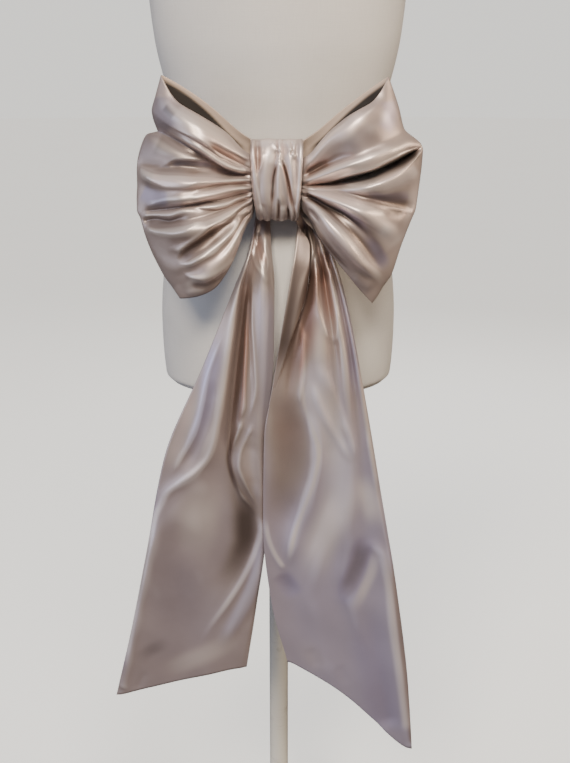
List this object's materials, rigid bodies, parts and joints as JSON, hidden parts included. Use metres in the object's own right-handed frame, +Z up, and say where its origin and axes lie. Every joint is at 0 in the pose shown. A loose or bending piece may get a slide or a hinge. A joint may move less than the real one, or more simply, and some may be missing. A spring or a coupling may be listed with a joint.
{
  "type": "satin bow sash on a dress form",
  "caption": "Satin waist sash with a large gathered bow and two long slanted tails, worn on a limbless dress form with a pole and round base.",
  "frame": {"origin": "middle of the round base's underside, on the pole's axis", "axes": "+Z up, the bow faces -Y, +X to the right of someone looking at the bow"},
  "size_m": [0.4119, 0.3575, 1.544],
  "materials": {
    "satin": "dusty pink duchess satin with a soft sheen",
    "linen": "plain woven pale grey linen, matt",
    "enamel": "cream enamel, satin gloss"
  },
  "bodies": {
    "root": {"waist_band": "satin", "knot": "satin", "loop_left": "satin", "loop_right": "satin", "tail_left": "satin", "tail_right": "satin", "form_torso": "linen", "pole": "enamel", "base": "enamel"}
  },
  "joints": []
}
